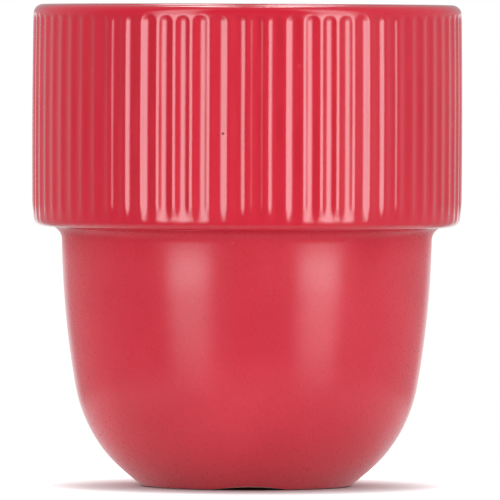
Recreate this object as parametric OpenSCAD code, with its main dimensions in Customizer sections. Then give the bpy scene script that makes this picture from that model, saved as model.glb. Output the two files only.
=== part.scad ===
// Handleless stacking mug in fired stoneware: a fluted collar above a narrower bowl with a round heel.
// The clay is one piece, and four coats of glaze lie on it. Sizes are over the glaze.
// Millimetres, +Z up, origin on the table at the middle of the foot. The front of the mug faces -Y.

/* [Overall] */
// Height from the table to the top of the lip
height = 90; // [75:0.5:120]
// Outer diameter of the collar, over its ridges
collar_d = 80.4; // [66:0.2:110]
// Height of the collar, from its underside to the top of the lip
collar_h = 41.4; // [30:0.1:52]

/* [Bowl] */
// How far the bowl is set in from the collar, on the radius
shoulder_step = 5.6; // [4.6:0.1:8]
// How far the slight bow of the wall alone would draw the bowl in by the table
bow_set = 7.1; // [3:0.1:10]
// Radius of the round heel between the wall and the foot
heel_r = 27.5; // [20:0.5:33]
// Length of the heel's straight run, which meets the table at the foot
heel_run = 3.3; // [3:0.1:7]
// How far the foot is set in from the bowl, on the radius
foot_inset = 15.1; // [12:0.1:20]

/* [Walls] */
// Thickness of the collar's wall
collar_wall = 3.8; // [3:0.1:5]
// Thickness of the bowl's wall
bowl_wall = 4; // [3:0.1:5]
// Thickness of the ledge inside, above the collar's underside
ledge_t = 4; // [3:0.1:6]
// Thickness of the floor, above the hollow under the base
floor_t = 4.2; // [3:0.1:8]
// Radius of the hollow between the floor and the wall inside
floor_r = 16; // [10:0.5:20]

/* [Flutes] */
// Number of flutes round the collar
flute_count = 73; // [48:1:76]
// Radius of each flute's hollow
flute_r = 3.7; // [3:0.1:4.5]
// Depth of each flute below the ridges
flute_depth = 0.26; // [0.15:0.01:0.32]
// Smooth band between the lip's rounding and the flutes' arched ends
lip_band = 0.2; // [0.1:0.1:4]
// Height above the collar's underside from which the ridges sink towards the lower edge
sink_h = 5.8; // [4:0.1:12]
// Depth of the flutes that is left at the lower edge, where the ridges have sunk
end_depth = 0.06; // [0.04:0.01:0.12]

/* [Edges] */
// Radius of the collar's lower edge
shoulder_r = 1.6; // [1:0.1:1.8]
// Radius of the hollow under the collar
neck_r = 3.3; // [1.5:0.1:3.6]
// Radius of the hollow at the back of the ledge inside
ledge_corner_r = 2.5; // [1:0.1:4]
// Radius of the ledge's rounded edge inside
ledge_edge_r = 3; // [1:0.1:4]

/* [Foot] */
// Width of the foot ring, from the heel to the hollow under the base
ring_w = 4.4; // [3.6:0.1:6]
// Height of the hollow under the base
recess_h = 1.6; // [1.2:0.1:3]
// Radius of the hollow's inner corner
recess_corner_r = 0.8; // [0.5:0.05:1]
// Radius of the foot ring's edges
foot_edge_r = 0.4; // [0.2:0.05:0.45]
// Number of drain notches across the foot ring
notch_count = 3; // [2:1:4]
// Width of each drain notch
notch_w = 14.5; // [6:0.5:18]
// Height of each drain notch
notch_h = 0.6; // [0.3:0.05:0.8]
// Angle from the front to the first drain notch, in degrees
notch_turn = 2.7; // [0:0.1:60]

/* [Glaze] */
// Thickness of every coat of glaze
glaze_t = 0.35; // [0.2:0.05:0.5]
// Height of bare clay that is wiped clean above the table, on the heel
heel_bare_h = 0.15; // [0.1:0.05:0.6]
// Height of bare clay that is wiped clean above the table, in the hollow under the base
bare_h = 0.5; // [0.45:0.05:0.8]

/* [Hidden] */

clay_color = "#e3d6c0";
gloss_color = "#c22c40";
satin_color = "#cb3d4d";

// Direction of the front, how far a cutter runs past what it cuts, and how finely circles are drawn
front = -90;
past = 1;
round_fn = 216;
flute_fn = 72;
arc_tol = 0.01;

// Most of the width that each rounding takes: the lower edge of what lies outside the lip's crest,
// the neck of the step's part inside it, and the ledge's two roundings of the ledge's
shoulder_share = 0.95;
neck_share = 0.9;
corner_share = 0.44;
edge_share = 0.52;

// Share of the pitch that a flute's cutter takes
cutter_share = 0.97;

// Heights and radii that follow from the driving sizes
collar_r = collar_d / 2;
shoulder_z = height - collar_h;
bowl_r = collar_r - shoulder_step;
foot_r = bowl_r - foot_inset;
recess_r = foot_r - ring_w;
lip_r = collar_wall / 2;
crest_r = collar_r - lip_r;
collar_in_r = collar_r - collar_wall;
ledge_z = shoulder_z + ledge_t;
floor_z = recess_h + floor_t;

// Bow of the bowl's wall: it is upright at the collar's underside
bow_r = (pow(shoulder_z, 2) + pow(bow_set, 2)) / (2 * bow_set);
bow_c = [bowl_r - bow_r, shoulder_z];
in_bow_r = bow_r - bowl_wall;

// Heel: an arc that meets the bow and the straight run without a corner, which sets the run's slope
foot_edge = [foot_r, 0];
heel_gap = foot_edge - bow_c;
heel_side = [heel_run * heel_gap.x + heel_r * heel_gap.y, heel_run * heel_gap.y - heel_r * heel_gap.x];
heel_sum = (pow(bow_r - heel_r, 2) - pow(heel_r, 2) - pow(heel_run, 2) - heel_gap * heel_gap) / 2;
heel_slope = acos(heel_sum / norm(heel_side)) + atan2(heel_side.y, heel_side.x);
heel_along = [cos(heel_slope), sin(heel_slope)];
heel_out = [sin(heel_slope), -cos(heel_slope)];
heel_c = foot_edge + heel_run * heel_along - heel_r * heel_out;
heel_turn = asin((shoulder_z - heel_c.y) / (bow_r - heel_r));

// Hollow under the collar, which meets the bow
hollow_r = min(neck_r, neck_share * (shoulder_step - lip_r));
neck_c = [bow_c.x + sqrt(pow(bow_r + hollow_r, 2) - pow(hollow_r, 2)), shoulder_z - hollow_r];
neck_turn = asin(hollow_r / (bow_r + hollow_r));

// Collar's lower edge, to which the ridges sink, and the lip
sink = flute_depth - end_depth;
sink_z = shoulder_z + sink_h;
lower_r = min(shoulder_r, shoulder_share * (lip_r - sink));
shoulder_c = [collar_r - sink - lower_r, shoulder_z + lower_r];
lip_c = [crest_r, height - lip_r];

// Ledge inside, whose roundings share the width of its step
ledge_w = collar_in_r - bowl_r + bowl_wall;
corner_r = min(ledge_corner_r, corner_share * ledge_w);
edge_r = min(ledge_edge_r, edge_share * ledge_w);
corner_c = [collar_in_r - corner_r, ledge_z + corner_r];
edge_rise = ledge_z - edge_r - shoulder_z;
edge_c = [bow_c.x + sqrt(pow(in_bow_r + edge_r, 2) - pow(edge_rise, 2)), ledge_z - edge_r];
edge_turn = asin(edge_rise / (in_bow_r + edge_r));

// Hollow between the floor and the wall inside
floor_drop = shoulder_z - floor_z - floor_r;
floor_c = [bow_c.x + sqrt(pow(in_bow_r - floor_r, 2) - pow(floor_drop, 2)), floor_z + floor_r];
floor_turn = asin(floor_drop / (in_bow_r - floor_r));

// Foot ring
recess_c = [recess_r - recess_corner_r, recess_h - recess_corner_r];
clay_foot_r = foot_r - glaze_t / sin(heel_slope);
foot_in_c = [recess_r + glaze_t + foot_edge_r, foot_edge_r];
foot_out_c = [clay_foot_r - foot_edge_r * tan(heel_slope / 2), foot_edge_r];
heel_wipe = foot_edge + heel_bare_h / sin(heel_slope) * heel_along;
notch_r = (pow(notch_w / 2, 2) + pow(notch_h, 2)) / (2 * notch_h);
notch_past = 4;
notch_run = ring_w + 2 * notch_past;

// Flutes
flute_pitch = 360 / flute_count;
flute_axis_r = collar_r - flute_depth + flute_r;
flute_arch = sqrt(pow(flute_r, 2) - pow(flute_r - flute_depth, 2));
flute_bottom_z = shoulder_z - past;
flute_cut_w = cutter_share * 2 * collar_r * sin(flute_pitch / 2);
flute_h = height - lip_r - lip_band - flute_arch - flute_bottom_z;

function reversed(points) = [for (i = [len(points) - 1 : -1 : 0]) points[i]];

// Points along an arc of radius r about c, from angle a to angle b, drawn on a radius larger by grow.
// Where the arc follows on from another, skip leaves out the point that they share.
function arc(c, r, a, b, grow = 0, skip = 0) =
    let (steps = max(3, ceil(abs(b - a) / (2 * acos(1 - arc_tol / r)))))
    [for (i = [skip : steps]) let (turn = a + (b - a) * i / steps) c + (r + grow) * [cos(turn), sin(turn)]];

// Outlines of the glaze's surface, or of what lies at a depth of t below it, as [radius, height]

// Outside of the bowl, from the wiped edge at the foot to the collar's underside
function bowl_outline(t) = concat(
    [heel_wipe - t * heel_out],
    arc(heel_c, heel_r, heel_slope - 90, -heel_turn, -t),
    arc(bow_c, bow_r, -heel_turn, -neck_turn, -t, 1),
    arc(neck_c, hollow_r, 180 - neck_turn, 90, t, 1),
    [[crest_r, shoulder_z + t]]);

// Outside of the collar, from its underside to the crest of the lip
function collar_outline(t) = concat(
    [[crest_r, shoulder_z + t]],
    arc(shoulder_c, lower_r, -90, 0, -t),
    [[collar_r - t, sink_z]],
    arc(lip_c, lip_r, 0, 90, -t));

// Inside of the mug, from the crest of the lip to the middle of the floor
function liner_outline(t) = concat(
    arc(lip_c, lip_r, 90, 180, -t),
    arc(corner_c, corner_r, 0, -90, t),
    arc(edge_c, edge_r, 90, 180 + edge_turn, -t),
    arc(bow_c, in_bow_r, edge_turn, -floor_turn, t, 1),
    arc(floor_c, floor_r, -floor_turn, -90, t, 1),
    [[0, floor_z - t]]);

// Hollow under the base, from its middle to the wiped edge at the foot ring
function base_outline(t) = concat(
    [[0, recess_h + t]],
    arc(recess_c, recess_corner_r, 90, 0, t),
    [[recess_r + t, bare_h]]);

// Bare foot ring, from the inner wiped edge to the outer one
foot_outline = concat(
    arc(foot_in_c, foot_edge_r, 180, 270),
    arc(foot_out_c, foot_edge_r, -90, heel_slope - 90));

// A coat of glaze between the surface and the clay
module coat(surface, clay) {
    rotate_extrude($fn = round_fn) polygon(concat(surface, reversed(clay)));
}

// Upright cutter with a round top for one flute, narrower than the pitch so that neighbours stay apart
module flute_cutter(r) {
    intersection() {
        rotate_extrude($fn = flute_fn) {
            square([r, flute_h]);
            translate([0, flute_h]) intersection() {
                circle(r, $fn = flute_fn);
                square(2 * r);
            }
        }
        translate([-r - past, -flute_cut_w / 2, 0])
            cube([r + past + collar_r + past - flute_axis_r, flute_cut_w, flute_h + r]);
    }
}

// All the flutes: a ridge, not a hollow, lies at the front
module flutes(r) {
    for (i = [0 : flute_count - 1])
        rotate([0, 0, front + (i + 0.5) * flute_pitch])
            translate([flute_axis_r, 0, flute_bottom_z])
                flute_cutter(r);
}

// Shallow drain notches across the foot ring, raised for the glaze that is wiped back from them
module notches(lift) {
    for (i = [0 : notch_count - 1])
        rotate([0, 0, front + notch_turn + i * 360 / notch_count])
            translate([recess_r - notch_past, 0, lift])
                rotate([90, 0, 90])
                    linear_extrude(notch_run) intersection() {
                        translate([0, notch_h - notch_r]) circle(notch_r, $fn = round_fn);
                        translate([-notch_w, -past]) square([2 * notch_w, 2 * past + notch_h]);
                    }
}

// Fired clay: the wall, the floor and the foot ring in one piece
module stoneware_body() {
    color(clay_color) difference() {
        rotate_extrude($fn = round_fn)
            polygon(concat(base_outline(glaze_t), foot_outline, bowl_outline(glaze_t),
                           collar_outline(glaze_t), liner_outline(glaze_t)));
        flutes(flute_r + glaze_t);
        notches(0);
    }
}

// Collar as a fluted ring, with its surface at a depth of t and its inner face within the wall
module collar_ring(t, inner_r) {
    difference() {
        rotate_extrude($fn = round_fn)
            polygon(concat([[inner_r, shoulder_z + t]], collar_outline(t), [[inner_r, height - t]]));
        flutes(flute_r + t);
    }
}

// Glossy coat that follows the flutes, from the lip's crest to the collar's underside
module collar_glaze() {
    color(gloss_color) difference() {
        collar_ring(0, crest_r);
        collar_ring(glaze_t, crest_r - past);
    }
}

// Satin coat on the outside of the bowl
module bowl_glaze() {
    color(satin_color) difference() {
        coat(bowl_outline(0), bowl_outline(glaze_t));
        notches(heel_bare_h);
    }
}

// Glossy coat on the inside
module liner_glaze() {
    color(gloss_color) coat(liner_outline(0), liner_outline(glaze_t));
}

// Glossy coat in the hollow under the base
module base_glaze() {
    color(gloss_color) difference() {
        coat(base_outline(0), base_outline(glaze_t));
        notches(bare_h);
    }
}

stoneware_body();
collar_glaze();
bowl_glaze();
liner_glaze();
base_glaze();
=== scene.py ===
"""Visual model of a handleless stacking mug, built around its packed solids.

The clay and the coat under the base keep their packed solids. The other coats of glaze are turned
again as finer shells, and every surface gets the finish of fired stoneware.
"""

import math

import bmesh
import bpy
from bpy.props import FloatProperty, FloatVectorProperty, IntProperty, PointerProperty
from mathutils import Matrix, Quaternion, Vector, noise


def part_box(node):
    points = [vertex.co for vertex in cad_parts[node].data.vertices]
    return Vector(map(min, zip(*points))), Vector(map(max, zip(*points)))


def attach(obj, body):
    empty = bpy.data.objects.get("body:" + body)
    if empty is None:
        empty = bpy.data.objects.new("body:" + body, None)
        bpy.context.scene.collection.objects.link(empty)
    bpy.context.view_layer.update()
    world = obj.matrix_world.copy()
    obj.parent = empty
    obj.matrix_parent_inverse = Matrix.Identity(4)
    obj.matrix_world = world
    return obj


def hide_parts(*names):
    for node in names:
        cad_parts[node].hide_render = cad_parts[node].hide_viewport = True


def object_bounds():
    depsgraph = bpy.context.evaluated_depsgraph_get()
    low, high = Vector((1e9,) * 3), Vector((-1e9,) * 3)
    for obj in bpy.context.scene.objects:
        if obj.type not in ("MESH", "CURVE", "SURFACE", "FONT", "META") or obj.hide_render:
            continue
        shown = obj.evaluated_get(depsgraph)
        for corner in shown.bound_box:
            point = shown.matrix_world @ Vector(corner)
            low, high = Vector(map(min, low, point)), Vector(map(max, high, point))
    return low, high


bl_info = {
    "name": "Fluted stacking mug",
    "version": (1, 0, 0),
    "blender": (4, 5, 0),
    "location": "3D View > Sidebar > Mug",
    "description": "Turns a fluted stoneware mug with its coats of glaze, on a plain stage",
    "category": "Mesh",
}

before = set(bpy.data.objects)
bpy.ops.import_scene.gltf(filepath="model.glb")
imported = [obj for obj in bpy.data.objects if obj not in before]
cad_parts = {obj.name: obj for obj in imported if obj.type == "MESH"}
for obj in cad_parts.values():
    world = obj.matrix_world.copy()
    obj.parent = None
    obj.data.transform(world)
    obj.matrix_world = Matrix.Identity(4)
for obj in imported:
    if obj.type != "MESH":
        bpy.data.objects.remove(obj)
cad_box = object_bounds()

# Heights that the packed solids already settle
COLLAR_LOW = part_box("collar_glaze")[0]
LINER_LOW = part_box("liner_glaze")[0]

BODY = "root"
PHOTO_SENSOR = 36.0
RIGHT_ANGLE = math.pi / 2

# Steps of a full turn: the collar takes sixteen for each flute, and plain shells take a quarter of that
STEPS_PER_FLUTE = 16
PLAIN_SHARE = 4

# First step of the lip's arc, so short that the two coats that meet on the crest share a normal
CREST_STEP = math.radians(0.4)
SHARP_ANGLE = math.radians(45)

# Rows of the collar's mesh grow finer from this far below the centres of the flutes' arches
ARCH_LEAD = 0.0003

# Glassy skin on the glossy glaze, and the clear skin on the satin one
COAT = 0.65
GLOSS_IOR, GLOSS_SKIN_ROUGHNESS = 1.5, 0.09
SATIN_IOR, SATIN_SKIN_ROUGHNESS = 1.4, 0.1

# Height of the bumps in each finish
GLOSS_BUMP = 0.00002
SATIN_BUMP = 0.000012
CLAY_BUMP = 0.00006

# Grain of a fired glaze, and the values between which its clouds and specks fade
GRAIN_SCALE = 1900.0
CLOUD_BAND = (0.38, 0.64)
SPECK_BAND = (0.10, 0.26)

# Height over which the glaze stops pooling at the arches
ARCH_FADE = 0.0018

# Place of the pinhole in the collar's glaze, and the radii between which its painted shade fades
PINHOLE = (-0.0044, -0.0397, 0.0665)
PINHOLE_CORE, PINHOLE_EDGE = 0.00012, 0.00032

# Dark iron specks in the bare clay
IRON = (0.16, 0.09, 0.05)

# Power of an area light, for each square metre, at which it looks as bright as white paper
PAPER_POWER = 4.0

# Rises between which the room dims above the table, brightens overhead, and loses its walls
ROOM_DIMS = (math.radians(5), math.radians(18))
ROOM_BRIGHTENS = (math.radians(45), math.radians(75))
WALLS_FADE = (math.radians(55), math.radians(85))

# How squarely a direction points behind the mug where the sweep begins to show, and where it is full
SWEEP_BEHIND = (0.86, 0.99)

# Power to which the floor's painted shade is raised, so that it stays close to the foot
SHADE_POWER = 3.0

# Painted shade under the foot: the dark grey of the floor there, standing for the foot's shadow, and
# the width over which it meets the pale floor
UNDER_FOOT_SHADE = 0.03
PAINTED_SHADE_EDGE = 0.0012

# Half of the rise over which a glow dims at its knee
GLOW_FEATHER = math.radians(0.7)


def length(name, description, default):
    """A size in metres that a user may change."""
    return FloatProperty(name=name, description=description, default=default, min=0.0,
                         precision=5, subtype="DISTANCE", unit="LENGTH")


def angle(name, description, degrees):
    """An angle that a user may change."""
    return FloatProperty(name=name, description=description, default=math.radians(degrees),
                         subtype="ANGLE", unit="ROTATION")


def share(name, description, default, high=1.0):
    """A number without a unit that a user may change."""
    return FloatProperty(name=name, description=description, default=default, min=0.0, max=high)


def colour(name, description, default):
    """A colour that a user may change."""
    return FloatVectorProperty(name=name, description=description, default=default, size=3,
                               min=0.0, max=1.0, subtype="COLOR")


class MugForm(bpy.types.PropertyGroup):
    """Sizes of the turned form, over the glaze"""

    height: length("Height", "Table to the top of the lip", cad_box[1].z)
    collar_radius: length("Collar radius", "Widest radius of the collar, over its ridges", cad_box[1].x)
    underside: length("Underside", "Table to the underside of the collar", COLLAR_LOW.z)
    collar_bow: length("Collar bow", "Radius of the collar's slight outward bow, from the side", 1.5)
    collar_waist: length("Collar waist", "Height at which the collar is widest", 0.066)
    lip_radius: length("Lip", "Radius of the round lip", 0.001818)
    step: length("Step", "How far the bowl is set in from the collar", 0.0056)
    bow_set: length("Bow", "How far the bow of the wall would draw the bowl in by the table", 0.0071)
    heel_radius: length("Heel", "Radius of the round heel", 0.0275)
    heel_run: length("Heel run", "Straight run of the heel down to the table", 0.0033)
    foot_inset: length("Foot inset", "How far the foot is set in from the bowl", 0.0151)
    bowl_wall: length("Bowl wall", "Thickness of the bowl's wall", 0.004)
    ledge: length("Ledge", "Thickness of the ledge inside, above the underside", 0.004)
    floor_radius: length("Floor hollow", "Radius of the hollow between floor and wall", 0.016)
    shoulder_radius: length("Shoulder", "Radius of the collar's lower edge", 0.0020)
    neck_radius: length("Neck", "Radius of the hollow under the collar", 0.0026)
    ledge_corner: length("Ledge corner", "Radius of the hollow behind the ledge", 0.0025)
    ledge_edge: length("Ledge edge", "Radius of the ledge's rounded edge", 0.003)
    joint_radius: length("Joint", "Radius at which gloss and satin meet under the collar", 0.0383)
    glaze: length("Glaze", "Thickness of a coat of glaze", 0.00035)
    heel_bare: length("Bare heel", "Height of the wiped edge above the table", 0.00015)
    notch_count: IntProperty(name="Notches", description="Drain notches across the foot ring",
                             default=3, min=1)
    notch_width: length("Notch width", "Width of a drain notch", 0.0145)
    notch_height: length("Notch height", "Height of a drain notch", 0.0006)
    notch_turn: angle("Notch turn", "Angle from the front to the first drain notch", 2.7)


class MugFlutes(bpy.types.PropertyGroup):
    """The flutes round the collar"""

    count: IntProperty(name="Flutes", description="Number of flutes round the collar",
                       default=73, min=12)
    hollow_radius: length("Hollow", "Radius of each hollow", 0.00356)
    ridge_radius: length("Ridge", "Radius of the round ridge between two hollows", 0.0024)
    arch_centre: length("Arch", "Height of the centre of each flute's arched top", 0.0869)
    sink_from: length("Sink from",
                      "Height at which the ridges begin to sink towards the lower edge", 0.0535)
    sink_to: length("Sink to", "Height at which the ridges have sunk", 0.0500)
    end_share: share("End", "Share of the flutes' depth that is left where the ridges have sunk", 0.3)
    sway: length("Sway",
                 "How far a ridge strays sideways, as it does on a cast and glazed pot", 0.00003)
    sway_size: length("Sway size", "Length over which a ridge strays", 0.011)
    uneven: share("Unevenness", "Share by which the depth of the flutes differs", 0.06)


class MugFinish(bpy.types.PropertyGroup):
    """Colours and gloss of the clay and its glazes"""

    gloss: colour("Gloss red", "Glossy glaze on the collar and inside", (0.70, 0.016, 0.040))
    gloss_pool: colour("Pooled red", "Glossy glaze where it pools in the hollows", (0.64, 0.011, 0.031))
    gloss_thin: colour("Thin red", "Glossy glaze where it thins over the ridges", (0.73, 0.022, 0.047))
    satin: colour("Satin red", "Satin glaze on the bowl", (0.685, 0.034, 0.058))
    satin_deep: colour("Deep satin red", "Satin glaze in the darker clouds", (0.635, 0.026, 0.048))
    speck: colour("Specks", "Pale specks in the glaze", (0.80, 0.18, 0.20))
    # The pinhole's dark colour is painted shade, standing for the shade inside the real pinhole's
    # hollow
    pinhole: colour("Pinhole", "Dark pinhole in the collar's glaze", (0.10, 0.012, 0.02))
    clay: colour("Clay", "Bare fired clay", (0.74, 0.65, 0.52))
    clay_dark: colour("Dark clay", "Darker grain of the bare clay", (0.58, 0.47, 0.34))
    gloss_roughness: share("Gloss roughness", "Roughness of the glossy glaze", 0.15)
    satin_roughness: share("Satin roughness", "Roughness of the satin glaze", 0.28)
    satin_skin: share("Satin skin", "Weight of the clear skin on the satin glaze", 0.48)
    # Heights between which the satin's clear skin fades out towards the collar, a painted shade on its
    # sheen under the collar
    sheen_shade_from: length("Dry from", "Height at which the satin begins to dry towards the collar", 0.0410)
    sheen_shade_to: length("Dry to", "Height at which the satin is dry", 0.0468)


class MugStage(bpy.types.PropertyGroup):
    """Camera, lights and floor"""

    distance: length("Distance", "Camera to the mug's axis", 2.13)
    camera_height: length("Camera height", "Table to the camera", 0.100)
    aim_side: FloatProperty(name="Aim side", description="Aim point's place across the view",
                            default=0.0006, precision=5, subtype="DISTANCE", unit="LENGTH")
    aim_height: length("Aim height", "Aim point's height above the table", 0.0441)
    view_width: length("View width", "Width of the view at the mug's axis", 0.0935)
    roll: angle("Roll", "Roll of the camera", 0.2)
    light: colour("Light", "Colour of the room's light, a little cool", (0.97, 0.97, 1.0))
    left_turn: angle("Left glow", "Angle of the left glow's middle from the camera", -36.5)
    right_turn: angle("Right glow", "Angle of the right glow's middle from the camera", 46.5)
    left_level: share("Left level", "Brightness of the left glow, where white paper is 1", 4.5, 50.0)
    right_level: share("Right level", "Brightness of the right glow, where white paper is 1", 4.5, 50.0)
    glow_core: angle("Glow core", "Half width of a glow's even middle", 5.5)
    glow_edge: angle("Glow edge", "Half width of a glow with its soft edge", 19.5)
    glow_lean: share("Glow lean", "Angle by which a glow leans outwards, for each unit of rise", 0.2)
    glow_full: angle("Glow full", "Rise up to which a glow is even", 2)
    glow_soft: angle("Glow soft", "Rise above which a glow is at its soft share", 10)
    soft_share: share("Soft share", "Share of a glow's brightness in its soft upper part", 0.57)
    glow_fade: angle("Glow fade", "Rise at which a glow's soft part begins to fade", 40)
    glow_top: angle("Glow top", "Rise at which a glow has faded", 88)
    glow_knee: angle("Glow knee", "Rise below which a glow is dimmer", -8.5)
    glow_low: angle("Glow low", "Rise at which the dim part of a glow has faded", -30)
    low_share: share("Low share", "Share of a glow's brightness in its dim part", 0.43)
    strip_width: length("Strip width", "Width of a strip light overhead", 0.09)
    strip_height: length("Strip length", "Length of a strip light overhead", 0.36)
    strip_rise: angle("Strip rise",
                      "Angle of a strip light's middle, past upright from the camera's side", 122)
    strip_turn: angle("Strip turn", "Angle of each strip light to its side", 5.4)
    strip_brightness: share("Strip brightness",
                            "Brightness of a strip light, where white paper is 1", 4.5, 50.0)
    lamp_distance: length("Lamp distance", "Lamps to the mug", 0.9)
    fill_size: length("Fill size", "Side of the soft fill lights beside and behind the mug", 0.9)
    fill_turn: angle("Fill turn", "Angle of the fill lights at the sides from the camera", 125)
    fill_rise: angle("Fill rise",
                     "Angle of the fill lights at the sides and behind above the table", 18)
    front_rise: angle("Front rise", "Angle of the fill light in front above the table", 3)
    fill_left: share("Left fill",
                     "Brightness of the fill light on the left, where white paper is 1", 1.6, 50.0)
    fill_right: share("Right fill",
                      "Brightness of the fill light on the right, where white paper is 1", 1.15, 50.0)
    fill_back: share("Back fill",
                     "Brightness of the fill light behind, where white paper is 1", 0.9, 50.0)
    fill_front: share("Front fill",
                      "Brightness of the fill light in front, where white paper is 1", 0.60, 50.0)
    room_grey: share("Room", "Brightness of the room in front, where white paper is 1", 0.17)
    room_dim: share("Dim room", "Share of that brightness above the table's level", 0.6)
    room_top: share("Room top", "Brightness of the room overhead", 0.25)
    left_wall: share("Left wall", "Brightness that the room gains at its left wall", 0.26)
    left_from: angle("Left from", "Angle from the camera at which the left wall begins to gain", 40)
    left_to: angle("Left to", "Angle from the camera at which the left wall has gained", 150)
    right_wall: share("Right wall", "Brightness that the room gains at its right wall", 0.25)
    right_from: angle("Right from", "Angle from the camera at which the right wall begins to gain", 20)
    right_to: angle("Right to", "Angle from the camera at which the right wall has gained", 60)
    sweep_full: angle("Sweep",
                      "Rise up to which the white sweep behind the mug is seen in its gloss", -1)
    sweep_top: angle("Sweep top", "Rise at which the sweep has faded", 3)
    floor_radius: length("Floor", "Radius at which the floor has faded into the background", 0.12)
    floor_solid: length("Solid floor", "Radius up to which the floor is solid", 0.07)
    floor_open: length("Open floor",
                       "Radius under the foot within which light passes the floor", 0.0188)
    floor_grey: share("Floor grey", "Share of its light that the floor's paper sends back", 0.68)
    floor_lift: share("Floor lift",
                      "Brightness that the floor has for the camera, besides its light", 0.95)
    gloss_lift: share("Floor in gloss",
                      "Brightness that the floor has in gloss and glass, besides its light", 0.12)
    shade_reach: length("Shade reach", "How far from the mug the floor is shaded by it", 0.016)


# Outlines


class Pen:
    """Draws the outline of a turned piece as a chain of edges: radius along X, height along Z."""

    def __init__(self, start):
        self.bm = bmesh.new()
        self.tip = self.first = self.bm.verts.new((start[0], 0.0, start[1]))

    def line(self, end, steps=1):
        """A straight run to the point, in equal steps."""
        start = self.tip.co.copy()
        for i in range(steps):
            self.tip = bmesh.ops.extrude_vert_indiv(self.bm, verts=[self.tip])["verts"][0]
            self.tip.co = start.lerp(Vector((end[0], 0.0, end[1])), (i + 1) / steps)

    def arc(self, centre, turn, steps):
        """An arc about the centre, anticlockwise for a turn above 0."""
        swept = bmesh.ops.spin(self.bm, geom=[self.tip], cent=(centre[0], 0.0, centre[1]),
                               axis=(0, -1, 0), angle=turn, steps=steps)
        self.tip = next(v for v in swept["geom_last"] if isinstance(v, bmesh.types.BMVert))

    def shell(self, steps):
        """Closes the outline and turns it once round the mug's axis."""
        self.bm.edges.new((self.tip, self.first))
        bmesh.ops.spin(self.bm, geom=self.bm.verts[:] + self.bm.edges[:], cent=(0, 0, 0),
                       axis=(0, 0, 1), angle=math.tau, steps=steps, use_merge=True)
        bmesh.ops.remove_doubles(self.bm, verts=self.bm.verts[:], dist=1e-6)
        bmesh.ops.dissolve_degenerate(self.bm, dist=1e-7, edges=self.bm.edges[:])
        bmesh.ops.recalc_face_normals(self.bm, faces=self.bm.faces[:])
        return self.bm


class Outline:
    """Centres and angles of the arcs that make up the form, worked out from its sizes."""

    def __init__(self, form):
        self.form = form
        bowl_radius = form.collar_radius - form.step
        self.bow_radius = (form.underside**2 + form.bow_set**2) / (2 * form.bow_set)
        self.bow = Vector((bowl_radius - self.bow_radius, form.underside))

        # Heel: an arc that meets the bow and the straight run smoothly, which sets the run's slope
        run, heel = form.heel_run, form.heel_radius
        self.foot = Vector((bowl_radius - form.foot_inset, 0.0))
        gap = self.foot - self.bow
        side = Vector((run * gap.x + heel * gap.y, run * gap.y - heel * gap.x))
        total = ((self.bow_radius - heel) ** 2 - heel**2 - run**2 - gap.length_squared) / 2
        self.slope = math.acos(total / side.length) + math.atan2(side.y, side.x)
        self.along = Vector((math.cos(self.slope), math.sin(self.slope)))
        self.out = Vector((math.sin(self.slope), -math.cos(self.slope)))
        self.heel = self.foot + run * self.along - heel * self.out
        self.heel_turn = math.asin((form.underside - self.heel.y) / (self.bow_radius - heel))
        self.wiped = self.foot + form.heel_bare / math.sin(self.slope) * self.along

        # Neck under the collar
        reach = self.bow_radius + form.neck_radius
        self.neck = Vector((self.bow.x + math.sqrt(reach**2 - form.neck_radius**2),
                            form.underside - form.neck_radius))
        self.neck_turn = math.asin(form.neck_radius / reach)

        # Collar: a slight bow between the lip and the lower edge
        self.collar_bow = Vector((form.collar_radius - form.collar_bow, form.collar_waist))
        self.lip_turn, self.lip = self.on_collar(form.lip_radius, form.height - form.lip_radius)
        self.lower_turn, self.lower = self.on_collar(form.shoulder_radius,
                                                     form.underside + form.shoulder_radius)

        # Inside: the collar's wall, the ledge, the bowl's wall and the floor
        self.inside = self.lip.x - form.lip_radius
        self.ledge_z = form.underside + form.ledge
        self.corner = Vector((self.inside - form.ledge_corner, self.ledge_z + form.ledge_corner))
        self.in_bow = self.bow_radius - form.bowl_wall
        rise = form.ledge - form.ledge_edge
        reach = self.in_bow + form.ledge_edge
        self.edge = Vector((self.bow.x + math.sqrt(reach**2 - rise**2), self.ledge_z - form.ledge_edge))
        self.edge_turn = math.asin(rise / reach)
        self.floor_z = LINER_LOW.z + form.glaze
        reach = self.in_bow - form.floor_radius
        drop = form.underside - self.floor_z - form.floor_radius
        self.floor = Vector((self.bow.x + math.sqrt(reach**2 - drop**2),
                             self.floor_z + form.floor_radius))
        self.floor_turn = math.asin(drop / reach)

    def on_collar(self, radius, z):
        """Angle and centre, at height z, of an arc of that radius that meets the collar's bow."""
        turn = math.asin((z - self.form.collar_waist) / (self.form.collar_bow - radius))
        return turn, Vector((self.collar_bow.x + (self.form.collar_bow - radius) * math.cos(turn), z))


# Meshes


def finish_piece(bm, name, node, material):
    """Turns a bmesh into a smooth piece that stands for a packed node and rides with the mug."""
    mesh = bpy.data.meshes.new(name)
    bm.to_mesh(mesh)
    bm.free()
    mesh.shade_smooth()
    mesh.set_sharp_from_angle(angle=SHARP_ANGLE)
    mesh.materials.append(material)
    piece = bpy.data.objects.new(name, mesh)
    bpy.context.scene.collection.objects.link(piece)
    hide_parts(node)
    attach(piece, BODY)
    return piece


def dress_node(node, material):
    """Gives a packed node that stays in view its material."""
    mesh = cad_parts[node].data
    mesh.materials.clear()
    mesh.materials.append(material)


def smooth(value, low, high):
    """Eases from 0 at low to 1 at high."""
    part = min(1.0, max(0.0, (value - low) / (high - low)))
    return part * part * (3 - 2 * part)


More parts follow.
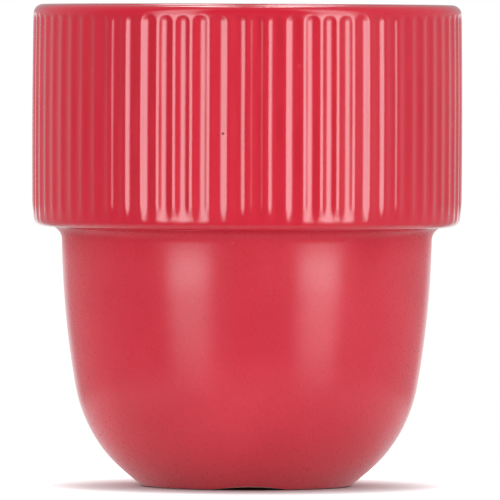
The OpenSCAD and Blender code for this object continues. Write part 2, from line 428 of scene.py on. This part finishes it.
class FluteCutter:
    """Depth of the flutes at a place on the collar: round hollows and ridges, with arched tops."""

    def __init__(self, form, flutes):
        self.flutes = flutes
        self.form = form
        self.pitch = math.tau / flutes.count
        self.half = form.collar_radius * self.pitch / 2
        both = flutes.hollow_radius + flutes.ridge_radius
        self.flank = self.half * flutes.hollow_radius / both
        self.depth = both - math.sqrt(both**2 - self.half**2)

    def section(self, off):
        """Depth below the ridge at a distance from the middle of a hollow."""
        if off >= self.half:
            return 0.0
        if off > self.flank:
            ridge = self.flutes.ridge_radius
            return ridge - math.sqrt(ridge**2 - (self.half - off) ** 2)
        hollow = self.flutes.hollow_radius
        return self.depth - hollow + math.sqrt(hollow**2 - off**2)

    def at(self, co):
        """How far the surface at co lies inside the plain collar."""
        flutes = self.flutes
        place = co / flutes.sway_size
        stray = flutes.sway * noise.noise(place)
        around = math.atan2(co.y, co.x) + RIGHT_ANGLE + stray / self.form.collar_radius
        off = abs((around / self.pitch) % 1.0 - 0.5) * 2 * self.half
        off = math.hypot(off, max(0.0, co.z - flutes.arch_centre))
        uneven = 1 + flutes.uneven * noise.noise(place + Vector((7.0, 3.0, 5.0)))
        risen = smooth(co.z, flutes.sink_to, flutes.sink_from)
        kept = flutes.end_share + (1 - flutes.end_share) * risen
        depth = self.section(off) * kept * uneven + self.depth * (1 - kept)
        low = self.form.underside
        return depth * smooth(co.z, low, low + self.form.shoulder_radius)


def collar_shell(form, flutes):
    """Coat on the outside of the collar, with its flutes."""
    o, glaze = Outline(form), form.glaze
    pen = Pen((o.lip.x, form.height))
    pen.arc(o.lip, -CREST_STEP, 1)
    pen.arc(o.lip, -(RIGHT_ANGLE - CREST_STEP - o.lip_turn), 14)
    top, low = o.lip_turn, o.lower_turn
    arch_turn = math.asin((flutes.arch_centre - ARCH_LEAD - form.collar_waist) / form.collar_bow)
    sink_turn = math.asin((flutes.sink_from - form.collar_waist) / form.collar_bow)
    pen.arc(o.collar_bow, arch_turn - top, 9)
    pen.arc(o.collar_bow, sink_turn - arch_turn, 16)
    pen.arc(o.collar_bow, low - sink_turn, 10)
    pen.arc(o.lower, -RIGHT_ANGLE - low, 14)
    pen.line((form.joint_radius, form.underside))

    # Back of the coat, on the clay
    clay = form.collar_radius - glaze
    round_low = form.shoulder_radius - glaze
    pen.line((form.joint_radius, form.underside + glaze))
    pen.line((clay - round_low, form.underside + glaze))
    pen.arc((clay - round_low, form.underside + form.shoulder_radius), RIGHT_ANGLE, 4)
    pen.line((clay, flutes.sink_from), 4)
    pen.line((clay, flutes.arch_centre))
    pen.line((clay, form.height - form.lip_radius - glaze / 2), 3)
    pen.line((o.lip.x, form.height - glaze), 3)
    bm = pen.shell(flutes.count * STEPS_PER_FLUTE)

    cutter = FluteCutter(form, flutes)
    for v in bm.verts:
        depth = cutter.at(v.co)
        if depth > 0:
            radius = math.hypot(v.co.x, v.co.y)
            v.co.xy *= 1 - depth / radius
    return bm


def bowl_shell(form, steps):
    """Coat on the outside of the bowl, with its lower edge wiped clear of the drain notches."""
    o, glaze = Outline(form), form.glaze
    neck_sweep = RIGHT_ANGLE - o.neck_turn
    bow_sweep = o.heel_turn - o.neck_turn
    heel_sweep = RIGHT_ANGLE - o.slope - o.heel_turn
    pen = Pen((form.joint_radius, form.underside))
    pen.line((o.neck.x, form.underside))
    pen.arc(o.neck, neck_sweep, 12)
    pen.arc(o.bow, -bow_sweep, 14)
    pen.arc(o.heel, -heel_sweep, 20)
    pen.line(o.wiped, 8)
    pen.line(o.wiped - glaze * o.out)
    pen.line(o.heel + (form.heel_radius - glaze) * o.out, 8)
    pen.arc(o.heel, heel_sweep, 10)
    pen.arc(o.bow, bow_sweep, 6)
    pen.arc(o.neck, -neck_sweep, 6)
    pen.line((form.joint_radius, form.underside + glaze))
    bm = pen.shell(steps)

    # The wiped edge rises over each notch, and the coat above it draws up along the heel
    reach = form.heel_run - (o.wiped - o.foot).length
    for v in bm.verts:
        radius = math.hypot(v.co.x, v.co.y)
        up = (Vector((radius, v.co.z)) - o.wiped).dot(o.along)
        if up > reach:
            continue
        lift = notch_lift(form, v.co) / math.sin(o.slope) * (1 - max(0.0, up) / reach)
        v.co.xy *= (radius + lift * o.along.x) / radius
        v.co.z += lift * o.along.y
    return bm


def notch_lift(form, co):
    """Height of the drain notches above the table at a place on the foot."""
    each = math.tau / form.notch_count
    around = math.atan2(co.y, co.x) + RIGHT_ANGLE - form.notch_turn
    off = (around + each / 2) % each - each / 2
    across = math.hypot(co.x, co.y) * math.sin(off) / (form.notch_width / 2)
    return form.notch_height * max(0.0, 1 - across**2) ** 1.5


def liner_shell(form, steps):
    """Coat on the inside, from the crest of the lip to the floor."""
    o, glaze = Outline(form), form.glaze
    edge_sweep = RIGHT_ANGLE + o.edge_turn
    wall_sweep = o.edge_turn + o.floor_turn
    floor_sweep = RIGHT_ANGLE - o.floor_turn
    pen = Pen((o.lip.x, form.height))
    pen.arc(o.lip, CREST_STEP, 1)
    pen.arc(o.lip, RIGHT_ANGLE - CREST_STEP, 14)
    pen.line((o.inside, o.corner.y), 2)
    pen.arc(o.corner, -RIGHT_ANGLE, 10)
    pen.line((o.edge.x, o.ledge_z))
    pen.arc(o.edge, edge_sweep, 12)
    pen.arc(o.bow, -wall_sweep, 14)
    pen.arc(o.floor, -floor_sweep, 22)
    pen.line((0.0, o.floor_z), 3)

    # Back of the coat, on the clay
    pen.line((0.0, o.floor_z - glaze))
    pen.line((o.floor.x, o.floor_z - glaze))
    pen.arc(o.floor, floor_sweep, 10)
    pen.arc(o.bow, wall_sweep, 6)
    pen.arc(o.edge, -edge_sweep, 6)
    pen.line((o.corner.x, o.ledge_z - glaze))
    pen.arc(o.corner, RIGHT_ANGLE, 6)
    pen.line((o.inside + glaze, o.lip.y))
    pen.arc(o.lip, -RIGHT_ANGLE, 6)
    return pen.shell(steps)


# Materials


def place(tree, kind, inputs=None, **settings):
    """Adds a node, with its settings, and with values or links for its inputs."""
    made = tree.nodes.new(kind)
    for key, value in settings.items():
        setattr(made, key, value)
    for key, value in (inputs or {}).items():
        if isinstance(value, bpy.types.NodeSocket):
            tree.links.new(value, made.inputs[key])
        else:
            made.inputs[key].default_value = value
    return made


def ramp(tree, value, low, high, start=0.0, end=1.0):
    """Maps low to high onto start to end, smoothly and without going past them."""
    return place(tree, "ShaderNodeMapRange", {"Value": value, "From Min": low, "From Max": high,
                                              "To Min": start, "To Max": end},
                 interpolation_type="SMOOTHSTEP").outputs["Result"]


def maths(tree, operation, *values):
    """A chain of one sum."""
    return place(tree, "ShaderNodeMath", dict(enumerate(values)), operation=operation).outputs["Value"]


def blend(tree, amount, first, second):
    """Mixes two colours."""
    made = place(tree, "ShaderNodeMix", {"Factor": amount}, data_type="RGBA", clamp_factor=True)
    for socket, value in ((made.inputs[6], first), (made.inputs[7], second)):
        if isinstance(value, bpy.types.NodeSocket):
            tree.links.new(value, socket)
        else:
            socket.default_value = value
    return made.outputs[2]


def rgba(value):
    """A colour with full alpha."""
    return (*value, 1.0)


def new_group(name, inputs, outputs):
    """An empty shader group with these sockets, and its two end nodes."""
    group = bpy.data.node_groups.new(name, "ShaderNodeTree")
    for way, sockets in (("INPUT", inputs), ("OUTPUT", outputs)):
        for socket, kind in sockets.items():
            group.interface.new_socket(name=socket, in_out=way, socket_type=kind)
    return group, group.nodes.new("NodeGroupInput"), group.nodes.new("NodeGroupOutput")


def fired_glaze_group():
    """Clouds, specks and ripple of a fired glaze."""
    name = "fired_glaze"
    if name in bpy.data.node_groups:
        return bpy.data.node_groups[name]
    number, tint = "NodeSocketFloat", "NodeSocketColor"
    group, start, end = new_group(
        name,
        {"Vector": "NodeSocketVector", "Colour": tint, "Cloud Colour": tint, "Speck Colour": tint,
         "Cloud Scale": number, "Speck Scale": number, "Speck Cover": number, "Speck Strength": number,
         "Ripple Scale": number, "Grain Height": number,
         "Roughness": number, "Roughness Spread": number},
        {"Colour": tint, "Roughness": number, "Height": number})
    given = start.outputs
    where = given["Vector"]
    clouds = place(group, "ShaderNodeTexNoise", {"Vector": where, "Scale": given["Cloud Scale"],
                                                 "Detail": 4.0, "Roughness": 0.6}).outputs["Fac"]
    grain = place(group, "ShaderNodeTexNoise", {"Vector": where, "Scale": GRAIN_SCALE,
                                                "Detail": 2.0}).outputs["Fac"]
    ripple = place(group, "ShaderNodeTexNoise", {"Vector": where, "Scale": given["Ripple Scale"],
                                                 "Detail": 1.0}).outputs["Fac"]
    cells = place(group, "ShaderNodeTexVoronoi", {"Vector": where, "Scale": given["Speck Scale"]})
    chosen = place(group, "ShaderNodeSeparateColor", {"Color": cells.outputs["Color"]}).outputs["Red"]
    chosen = maths(group, "LESS_THAN", chosen, given["Speck Cover"])
    speck = ramp(group, cells.outputs["Distance"], *SPECK_BAND, 1.0, 0.0)
    speck = maths(group, "MULTIPLY", speck, chosen)
    speck = maths(group, "MULTIPLY", speck, given["Speck Strength"])
    painted = blend(group, ramp(group, clouds, *CLOUD_BAND), given["Colour"], given["Cloud Colour"])
    painted = blend(group, speck, painted, given["Speck Colour"])
    group.links.new(painted, end.inputs["Colour"])
    spread = maths(group, "MULTIPLY", maths(group, "SUBTRACT", grain, 0.5), given["Roughness Spread"])
    group.links.new(maths(group, "ADD", given["Roughness"], spread), end.inputs["Roughness"])
    grains = maths(group, "MULTIPLY", grain, given["Grain Height"])
    group.links.new(maths(group, "ADD", ripple, grains), end.inputs["Height"])
    return group


def new_material(name):
    """A material with a Principled BSDF, and the mug's own coordinates."""
    material = bpy.data.materials.new(name)
    material.use_nodes = True
    tree = material.node_tree
    surface = next(n for n in tree.nodes if n.type == "BSDF_PRINCIPLED")
    where = place(tree, "ShaderNodeTexCoord").outputs["Object"]
    return material, tree, surface, where


def glaze_on(tree, surface, where, bump_height, painted=None, **values):
    """Places the fired glaze on a surface."""
    glaze = place(tree, "ShaderNodeGroup", node_tree=fired_glaze_group())
    tree.links.new(where, glaze.inputs["Vector"])
    for key, value in values.items():
        glaze.inputs[key.replace("_", " ").title()].default_value = value
    if painted is not None:
        tree.links.new(painted, glaze.inputs["Colour"])
    bump = place(tree, "ShaderNodeBump", {"Height": glaze.outputs["Height"], "Distance": bump_height,
                                          "Strength": 1.0})
    tree.links.new(glaze.outputs["Colour"], surface.inputs["Base Color"])
    tree.links.new(glaze.outputs["Roughness"], surface.inputs["Roughness"])
    tree.links.new(bump.outputs["Normal"], surface.inputs["Normal"])
    return glaze


def glassy(surface):
    """Gives a glaze the clear, glassy skin of a full melt."""
    surface.inputs["IOR"].default_value = GLOSS_IOR
    surface.inputs["Coat Weight"].default_value = COAT
    surface.inputs["Coat Roughness"].default_value = GLOSS_SKIN_ROUGHNESS


def collar_gloss(form, flutes, finish):
    """Glossy glaze that thins over the ridges and pools in the flutes, with one real pinhole painted
    dark for the shade in its hollow.
    """
    material, tree, surface, where = new_material("collar_gloss")
    axes = place(tree, "ShaderNodeSeparateXYZ", {"Vector": where}).outputs
    around = maths(tree, "ARCTAN2", axes["Y"], axes["X"])
    wave = maths(tree, "COSINE", maths(tree, "MULTIPLY", around, float(flutes.count)))
    risen = ramp(tree, axes["Z"], flutes.sink_to, flutes.sink_from, flutes.end_share, 1.0)
    arched = ramp(tree, axes["Z"], flutes.arch_centre, flutes.arch_centre + ARCH_FADE, 1.0, 0.0)
    fluted = maths(tree, "MULTIPLY", risen, arched)
    ridge = maths(tree, "MULTIPLY", ramp(tree, wave, -0.2, 1.0), fluted)
    hollow = maths(tree, "MULTIPLY", ramp(tree, wave, 0.2, -1.0), fluted)
    painted = blend(tree, hollow, rgba(finish.gloss), rgba(finish.gloss_pool))
    painted = blend(tree, ridge, painted, rgba(finish.gloss_thin))
    glaze = glaze_on(tree, surface, where, GLOSS_BUMP, painted,
                     cloud_colour=rgba(finish.gloss), cloud_scale=55.0,
                     speck_colour=rgba(finish.speck), speck_scale=420.0,
                     speck_cover=0.03, speck_strength=0.12, ripple_scale=140.0, grain_height=0.04,
                     roughness=finish.gloss_roughness, roughness_spread=0.05)
    glassy(surface)
    # The pinhole is painted dark, a painted shade for its hollow, and loses its gloss
    pinhole_shade_mask = place(tree, "ShaderNodeVectorMath", {0: where, 1: PINHOLE}, operation="DISTANCE")
    pinhole_shade_mask = ramp(tree, pinhole_shade_mask.outputs["Value"], PINHOLE_CORE, PINHOLE_EDGE, 1.0, 0.0)
    painted = blend(tree, pinhole_shade_mask, glaze.outputs["Colour"], rgba(finish.pinhole))
    tree.links.new(painted, surface.inputs["Base Color"])
    rough = maths(tree, "MAXIMUM", glaze.outputs["Roughness"], pinhole_shade_mask)
    tree.links.new(rough, surface.inputs["Roughness"])
    tree.links.new(ramp(tree, pinhole_shade_mask, 0.0, 1.0, COAT, 0.0), surface.inputs["Coat Weight"])
    return material


def liner_gloss(name, finish):
    """Glossy glaze on plain turned surfaces."""
    material, tree, surface, where = new_material(name)
    glaze_on(tree, surface, where, GLOSS_BUMP, colour=rgba(finish.gloss),
             cloud_colour=rgba(finish.gloss_pool), cloud_scale=45.0,
             speck_colour=rgba(finish.speck), speck_scale=420.0,
             speck_cover=0.05, speck_strength=0.25, ripple_scale=120.0, grain_height=0.04,
             roughness=finish.gloss_roughness, roughness_spread=0.05)
    glassy(surface)
    return material


def bowl_satin(finish):
    """Satin glaze with fine pale specks, whose clear skin fades out under the collar: a painted shade
    on its sheen there.
    """
    material, tree, surface, where = new_material("bowl_satin")
    glaze_on(tree, surface, where, SATIN_BUMP, colour=rgba(finish.satin),
             cloud_colour=rgba(finish.satin_deep), cloud_scale=48.0,
             speck_colour=rgba(finish.speck), speck_scale=1100.0,
             speck_cover=0.2, speck_strength=0.30, ripple_scale=110.0,
             roughness=finish.satin_roughness, roughness_spread=0.05)
    surface.inputs["IOR"].default_value = SATIN_IOR
    surface.inputs["Coat Roughness"].default_value = SATIN_SKIN_ROUGHNESS
    # The clear skin fades out under the collar, painting shade on the satin's sheen there
    height = place(tree, "ShaderNodeSeparateXYZ", {"Vector": where}).outputs["Z"]
    skin = ramp(tree, height, finish.sheen_shade_from, finish.sheen_shade_to, finish.satin_skin, 0.0)
    tree.links.new(skin, surface.inputs["Coat Weight"])
    return material


def bare_clay(finish):
    """Unglazed fired clay, with sandy grain and a few dark iron specks."""
    material, tree, surface, where = new_material("bare_clay")
    sand = place(tree, "ShaderNodeTexNoise", {"Vector": where, "Scale": 900.0, "Detail": 5.0,
                                              "Roughness": 0.7}).outputs["Fac"]
    warm = place(tree, "ShaderNodeTexNoise", {"Vector": where, "Scale": 80.0,
                                              "Detail": 2.0}).outputs["Fac"]
    iron = place(tree, "ShaderNodeTexVoronoi", {"Vector": where, "Scale": 520.0}).outputs["Distance"]
    painted = blend(tree, ramp(tree, sand, 0.4, 0.7), rgba(finish.clay), rgba(finish.clay_dark))
    painted = blend(tree, ramp(tree, warm, 0.35, 0.75, 0.0, 0.35), painted, rgba(finish.clay_dark))
    painted = blend(tree, ramp(tree, iron, 0.05, 0.12, 0.8, 0.0), painted, rgba(IRON))
    tree.links.new(painted, surface.inputs["Base Color"])
    tree.links.new(ramp(tree, sand, 0.3, 0.7, 0.78, 0.95), surface.inputs["Roughness"])
    bump = place(tree, "ShaderNodeBump", {"Height": sand, "Distance": CLAY_BUMP, "Strength": 1.0})
    tree.links.new(bump.outputs["Normal"], surface.inputs["Normal"])
    return material


# Operators


class MUG_OT_clay(bpy.types.Operator):
    """Gives the packed clay its bare, sandy finish"""

    bl_idname = "mug.clay"
    bl_label = "Fire the Clay"

    def execute(self, context):
        dress_node("stoneware_body", bare_clay(context.scene.mug_finish))
        return {"FINISHED"}


class MUG_OT_collar(bpy.types.Operator):
    """Turns the glossy coat on the fluted collar"""

    bl_idname = "mug.collar"
    bl_label = "Glaze the Collar"

    def execute(self, context):
        scene = context.scene
        material = collar_gloss(scene.mug_form, scene.mug_flutes, scene.mug_finish)
        finish_piece(collar_shell(scene.mug_form, scene.mug_flutes), "collar_coat", "collar_glaze",
                     material)
        return {"FINISHED"}


class MUG_OT_bowl(bpy.types.Operator):
    """Turns the satin coat on the outside of the bowl"""

    bl_idname = "mug.bowl"
    bl_label = "Glaze the Bowl"

    def execute(self, context):
        scene = context.scene
        steps = scene.mug_flutes.count * STEPS_PER_FLUTE // PLAIN_SHARE
        finish_piece(bowl_shell(scene.mug_form, steps), "bowl_coat", "bowl_glaze",
                     bowl_satin(scene.mug_finish))
        return {"FINISHED"}


class MUG_OT_liner(bpy.types.Operator):
    """Turns the glossy coat on the inside"""

    bl_idname = "mug.liner"
    bl_label = "Glaze the Inside"

    def execute(self, context):
        scene = context.scene
        steps = scene.mug_flutes.count * STEPS_PER_FLUTE // PLAIN_SHARE
        finish_piece(liner_shell(scene.mug_form, steps), "liner_coat", "liner_glaze",
                     liner_gloss("liner_gloss", scene.mug_finish))
        return {"FINISHED"}


class MUG_OT_base(bpy.types.Operator):
    """Gives the packed coat under the base its gloss"""

    bl_idname = "mug.base"
    bl_label = "Glaze the Base"

    def execute(self, context):
        dress_node("base_glaze", liner_gloss("base_gloss", context.scene.mug_finish))
        return {"FINISHED"}


class MUG_OT_stage(bpy.types.Operator):
    """Sets the camera, a grey room with a glow on each side, soft lamps and a pale floor"""

    bl_idname = "mug.stage"
    bl_label = "Set the Stage"

    def execute(self, context):
        scene, stage = context.scene, context.scene.mug_stage
        scene.view_settings.view_transform = "Standard"
        set_camera(scene, stage)
        set_room(scene, stage)
        strip = (stage.strip_width, stage.strip_height, stage.strip_brightness)
        lean = Vector((math.tan(stage.strip_turn), 0, 0))
        add_softbox(scene, stage, "strip_left", towards(0, stage.strip_rise) - lean, strip)
        add_softbox(scene, stage, "strip_right", towards(0, stage.strip_rise) + lean, strip)
        size = stage.fill_size
        for name, way, bright in (
                ("fill_left", towards(-stage.fill_turn, stage.fill_rise), stage.fill_left),
                ("fill_right", towards(stage.fill_turn, stage.fill_rise), stage.fill_right),
                ("fill_back", towards(math.pi, stage.fill_rise), stage.fill_back),
                ("fill_front", towards(0.0, stage.front_rise), stage.fill_front)):
            lamp = add_softbox(scene, stage, name, way, (size, size, bright))
            lamp.visible_glossy = False
        add_floor(scene, stage)
        return {"FINISHED"}


def set_camera(scene, stage):
    """A long lens in front of the mug, near the height of its lip."""
    data = bpy.data.cameras.new("camera")
    data.sensor_width = PHOTO_SENSOR
    data.lens = PHOTO_SENSOR * stage.distance / stage.view_width
    camera = bpy.data.objects.new("camera", data)
    scene.collection.objects.link(camera)
    camera.location = (stage.aim_side, -stage.distance, stage.camera_height)
    aim = Vector((stage.aim_side, 0.0, stage.aim_height)) - camera.location
    turn = aim.to_track_quat("-Z", "Y") @ Quaternion((0, 0, 1), stage.roll)
    camera.rotation_euler = turn.to_euler()
    scene.camera = camera


def towards(turn, rise):
    """Direction from the mug at an angle from the camera and a rise above the table."""
    level = math.cos(rise)
    return Vector((math.sin(turn) * level, -math.cos(turn) * level, math.sin(rise)))


def add_softbox(scene, stage, name, way, shape):
    """A soft light in that direction from the mug, which it faces."""
    width, height, brightness = shape
    data = bpy.data.lights.new(name, "AREA")
    data.shape = "RECTANGLE"
    data.size, data.size_y = width, height
    data.energy = PAPER_POWER * brightness * width * height
    light = bpy.data.objects.new(name, data)
    scene.collection.objects.link(light)
    light.location = way.normalized() * stage.lamp_distance + Vector((0, 0, stage.aim_height))
    light.rotation_euler = (-way).to_track_quat("-Z", "Y").to_euler()
    return light


def set_room(scene, stage):
    """A grey room with a glow on each side and a white sweep behind. The camera sees only white."""
    world = bpy.data.worlds.new("room")
    world.use_nodes = True
    tree = world.node_tree
    surface = next(n for n in tree.nodes if n.type == "BACKGROUND")
    way = place(tree, "ShaderNodeTexCoord").outputs["Generated"]
    axes = place(tree, "ShaderNodeSeparateXYZ", {"Vector": way}).outputs
    turn = maths(tree, "ARCTAN2", axes["X"], maths(tree, "MULTIPLY", axes["Y"], -1.0))
    rise = maths(tree, "ARCSINE", axes["Z"])
    level = ramp(tree, rise, *ROOM_DIMS, stage.room_grey, stage.room_grey * stage.room_dim)
    overhead = ramp(tree, rise, *ROOM_BRIGHTENS, 0.0, stage.room_top)
    level = maths(tree, "MAXIMUM", level, overhead)
    left = ramp(tree, turn, -stage.left_from, -stage.left_to, 0.0, stage.left_wall)
    right = ramp(tree, turn, stage.right_from, stage.right_to, 0.0, stage.right_wall)
    walls = maths(tree, "ADD", left, right)
    walls = maths(tree, "MULTIPLY", walls, ramp(tree, rise, *WALLS_FADE, 1.0, 0.0))
    level = maths(tree, "ADD", level, walls)

    soft = ramp(tree, rise, stage.glow_full, stage.glow_soft, 1.0, stage.soft_share)
    soft = maths(tree, "MULTIPLY", soft, ramp(tree, rise, stage.glow_fade, stage.glow_top, 1.0, 0.0))
    knee_low, knee_high = stage.glow_knee - GLOW_FEATHER, stage.glow_knee + GLOW_FEATHER
    lower = ramp(tree, rise, stage.glow_low, knee_low, 0.0, stage.low_share)
    knee = ramp(tree, rise, knee_low, knee_high, 0.0, 1 - stage.low_share)
    soft = maths(tree, "MULTIPLY", soft, maths(tree, "ADD", lower, knee))
    risen = maths(tree, "MAXIMUM", rise, 0.0)
    for side, bright in ((stage.left_turn, stage.left_level), (stage.right_turn, stage.right_level)):
        lean = maths(tree, "MULTIPLY", risen, math.copysign(stage.glow_lean, side))
        off = maths(tree, "ABSOLUTE", maths(tree, "SUBTRACT", turn, maths(tree, "ADD", lean, side)))
        glow = ramp(tree, off, stage.glow_core, stage.glow_edge, bright, 0.0)
        level = maths(tree, "ADD", level, maths(tree, "MULTIPLY", glow, soft))

    # The camera sees white all round, and gloss and glass see the white sweep behind the mug
    rays = place(tree, "ShaderNodeLightPath").outputs
    sweep = maths(tree, "MULTIPLY", ramp(tree, axes["Y"], *SWEEP_BEHIND),
                  ramp(tree, rise, stage.sweep_full, stage.sweep_top, 1.0, 0.0))
    mirrored = maths(tree, "MAXIMUM", rays["Is Glossy Ray"], rays["Is Transmission Ray"])
    seen = maths(tree, "MAXIMUM", rays["Is Camera Ray"], maths(tree, "MULTIPLY", mirrored, sweep))
    light = place(tree, "ShaderNodeVectorMath", {0: stage.light, "Scale": level},
                  operation="SCALE").outputs["Vector"]
    tree.links.new(blend(tree, seen, light, rgba((1.0, 1.0, 1.0))), surface.inputs["Color"])
    scene.world = world


def add_floor(scene, stage):
    """A pale round floor that keeps the mug's shadow and fades into the background.

    Light passes it under the foot, so that the underside isn't black in views from below. For the
    camera it dims near the mug by ambient occlusion and is painted dark under the foot: painted shadow
    on top of the real shadow in its paper.
    """
    bm = bmesh.new()
    bmesh.ops.create_circle(bm, cap_ends=True, segments=96, radius=stage.floor_radius)
    mesh = bpy.data.meshes.new("floor")
    bm.to_mesh(mesh)
    bm.free()
    floor = bpy.data.objects.new("floor", mesh)
    scene.collection.objects.link(floor)

    material = bpy.data.materials.new("pale_floor")
    material.use_nodes = True
    tree = material.node_tree
    tree.nodes.clear()
    where = place(tree, "ShaderNodeTexCoord").outputs["Object"]
    radius = place(tree, "ShaderNodeVectorMath", {0: where}, operation="LENGTH").outputs["Value"]
    above = maths(tree, "SUBTRACT", 1.0, place(tree, "ShaderNodeNewGeometry").outputs["Backfacing"])
    fade = ramp(tree, radius, stage.floor_solid, stage.floor_radius, 1.0, 0.0)
    cover = maths(tree, "MULTIPLY", above, fade)
    rays = place(tree, "ShaderNodeLightPath").outputs
    outside = maths(tree, "GREATER_THAN", radius, stage.floor_open)
    closed = maths(tree, "MAXIMUM", rays["Is Camera Ray"], outside)
    cover = maths(tree, "MULTIPLY", cover, closed)
    mirrored = maths(tree, "MAXIMUM", rays["Is Glossy Ray"], rays["Is Transmission Ray"])
    # The camera's brightness of the floor dims with ambient occlusion near the mug, a painted contact
    # shadow
    shade = place(tree, "ShaderNodeAmbientOcclusion", {"Distance": stage.shade_reach}).outputs["AO"]
    seen = maths(tree, "MULTIPLY", rays["Is Camera Ray"], maths(tree, "POWER", shade, SHADE_POWER))
    lift = maths(tree, "MAXIMUM", maths(tree, "MULTIPLY", seen, stage.floor_lift),
                 maths(tree, "MULTIPLY", mirrored, stage.gloss_lift))
    # The floor is painted dark under the foot and a little past its edge, a painted contact shadow seen
    # through the drain notches
    shade_edge = stage.floor_open + PAINTED_SHADE_EDGE
    grey = ramp(tree, radius, stage.floor_open, shade_edge, UNDER_FOOT_SHADE, stage.floor_grey)
    paper = place(tree, "ShaderNodeBsdfDiffuse", {"Color": grey}).outputs["BSDF"]
    glow = place(tree, "ShaderNodeEmission", {"Strength": lift})
    lit = place(tree, "ShaderNodeAddShader", {0: paper, 1: glow.outputs["Emission"]}).outputs["Shader"]
    clear = place(tree, "ShaderNodeBsdfTransparent").outputs["BSDF"]
    mixed = place(tree, "ShaderNodeMixShader", {0: cover, 1: clear, 2: lit}).outputs["Shader"]
    place(tree, "ShaderNodeOutputMaterial", {"Surface": mixed})
    mesh.materials.append(material)


class MUG_PT_panel(bpy.types.Panel):
    """Lists the mug's pieces, sizes and finishes"""

    bl_label = "Fluted Stacking Mug"
    bl_idname = "MUG_PT_panel"
    bl_space_type = "VIEW_3D"
    bl_region_type = "UI"
    bl_category = "Mug"

    def draw(self, context):
        for operator in OPERATORS:
            self.layout.operator(operator.bl_idname)
        for group, kind in GROUPS.items():
            box = self.layout.box()
            box.label(text=kind.__doc__)
            for key in kind.__annotations__:
                box.prop(getattr(context.scene, group), key)


OPERATORS = (MUG_OT_clay, MUG_OT_collar, MUG_OT_bowl, MUG_OT_liner, MUG_OT_base, MUG_OT_stage)
GROUPS = {"mug_form": MugForm, "mug_flutes": MugFlutes, "mug_finish": MugFinish, "mug_stage": MugStage}


def register():
    """Registers the classes and hangs their settings on the scene."""
    for kind in (*GROUPS.values(), *OPERATORS, MUG_PT_panel):
        bpy.utils.register_class(kind)
    for group, kind in GROUPS.items():
        setattr(bpy.types.Scene, group, PointerProperty(type=kind))


def unregister():
    """Takes the settings off the scene again, and the classes with them."""
    for group in GROUPS:
        delattr(bpy.types.Scene, group)
    for kind in (MUG_PT_panel, *reversed(OPERATORS), *reversed(GROUPS.values())):
        bpy.utils.unregister_class(kind)


def main():
    register()
    bpy.ops.mug.clay()
    bpy.ops.mug.collar()
    bpy.ops.mug.bowl()
    bpy.ops.mug.liner()
    bpy.ops.mug.base()
    bpy.ops.mug.stage()


if __name__ == "__main__":
    main()
